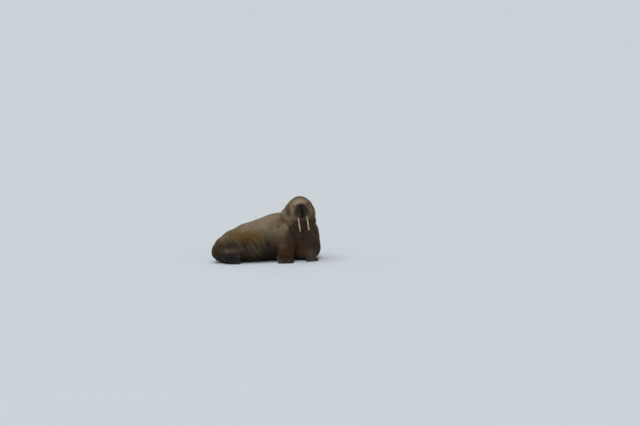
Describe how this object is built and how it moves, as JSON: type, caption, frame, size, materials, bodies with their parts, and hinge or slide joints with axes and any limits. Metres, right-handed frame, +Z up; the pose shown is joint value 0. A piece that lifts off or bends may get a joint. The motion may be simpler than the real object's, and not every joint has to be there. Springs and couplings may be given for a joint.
{
  "type": "walrus",
  "caption": "Adult walrus resting on the floor, propped on its fore flippers, with its head turned to the side, tusks hanging and hind flippers folded.",
  "frame": {"origin": "on the floor, on the flat under the belly", "axes": "+X from the rump to the shoulders, +Y to the animal's left, +Z up; the head is turned to its right and looks towards -Y"},
  "size_m": [2.1898, 1.0642, 1.2721],
  "materials": {
    "hide": "thick creased hide with short sparse brown hair",
    "limb_hide": "creased dark brown hide, thinly haired",
    "muzzle": "dark grey-brown skin with stiff pale bristles",
    "flipper": "bare dark wrinkled skin, damp",
    "tusk": "ivory, cream with fine long cracks and stained roots",
    "eye": "dark brown, wet gloss"
  },
  "bodies": {
    "root": {"hips": "hide", "torso": "hide", "chest": "hide", "neck": "hide", "head": "hide", "eye_right": "eye", "eye_left": "eye", "muzzle_right": "muzzle", "muzzle_left": "muzzle", "lower_jaw": "muzzle", "tusk_right": "tusk", "tusk_left": "tusk", "fore_flipper_right_arm": "limb_hide", "fore_flipper_right_hand": "flipper", "fore_flipper_left_arm": "limb_hide", "fore_flipper_left_hand": "flipper", "hind_flipper_right_ankle": "limb_hide", "hind_flipper_right_foot": "flipper", "hind_flipper_left_ankle": "limb_hide", "hind_flipper_left_foot": "flipper", "tail": "limb_hide"}
  },
  "joints": []
}
